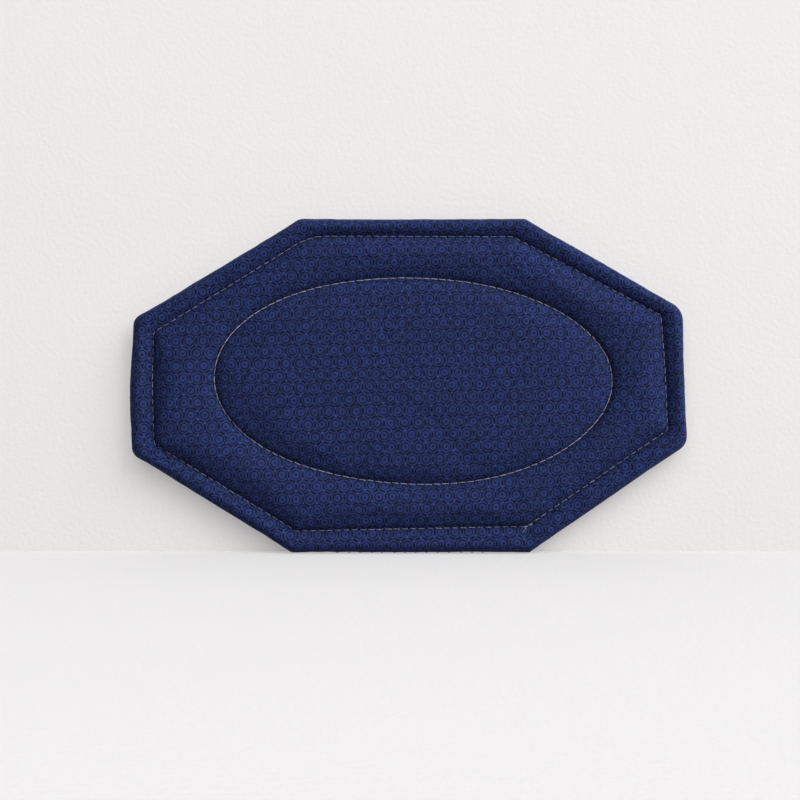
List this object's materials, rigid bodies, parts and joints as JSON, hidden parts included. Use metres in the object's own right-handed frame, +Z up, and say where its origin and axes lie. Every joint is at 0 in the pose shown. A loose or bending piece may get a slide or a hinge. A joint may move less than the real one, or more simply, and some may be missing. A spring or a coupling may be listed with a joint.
{
  "type": "wall punch pad",
  "caption": "Flat octagonal quilted punch pad with an oval quilting line, held to a wall by hook-and-loop patches it pulls off from.",
  "frame": {"origin": "centre of the wall side of the centre adhesive patch, on the wall plane, behind the middle of the pad", "axes": "+X along the pad to the right as seen from the front, +Y into the wall, +Z up; the struck face looks along -Y"},
  "size_m": [0.2999, 0.0172, 0.1813],
  "materials": {
    "printed_cotton": "woven cotton with a small blue-on-navy print of packed circles, matt",
    "plain_cotton": "plain navy woven cotton, matt",
    "wadding": "white needled polyester wadding",
    "foam": "grey closed-cell foam",
    "thread": "pale grey twisted sewing thread",
    "loop_tape": "black woven nylon with a brushed loop pile",
    "hook_tape": "black woven nylon with stiff monofilament hooks",
    "adhesive": "clear pressure-sensitive film"
  },
  "bodies": {
    "wall_side": {"hook_tape_centre": "hook_tape", "hook_tape_upper_left": "hook_tape", "hook_tape_upper_right": "hook_tape", "hook_tape_lower_left": "hook_tape", "hook_tape_lower_right": "hook_tape", "adhesive_centre": "adhesive", "adhesive_upper_left": "adhesive", "adhesive_upper_right": "adhesive", "adhesive_lower_left": "adhesive", "adhesive_lower_right": "adhesive"},
    "pad": {"front_cover": "printed_cotton", "back_cover": "plain_cotton", "front_wadding": "wadding", "foam_core": "foam", "perimeter_needle_thread": "thread", "perimeter_bobbin_thread": "thread", "oval_needle_thread": "thread", "oval_bobbin_thread": "thread", "edge_seam_thread": "thread", "closing_stitches": "thread", "loop_tape_centre": "loop_tape", "loop_tape_upper_left": "loop_tape", "loop_tape_upper_right": "loop_tape", "loop_tape_lower_left": "loop_tape", "loop_tape_lower_right": "loop_tape", "loop_tape_stitching_centre": "thread", "loop_tape_stitching_upper_left": "thread", "loop_tape_stitching_upper_right": "thread", "loop_tape_stitching_lower_left": "thread", "loop_tape_stitching_lower_right": "thread"}
  },
  "joints": [
    {"name": "pad_pull_off", "type": "slide", "parent": "wall_side", "child": "pad", "axis": [0, -1, 0], "range_m": [0, 0.06]}
  ]
}
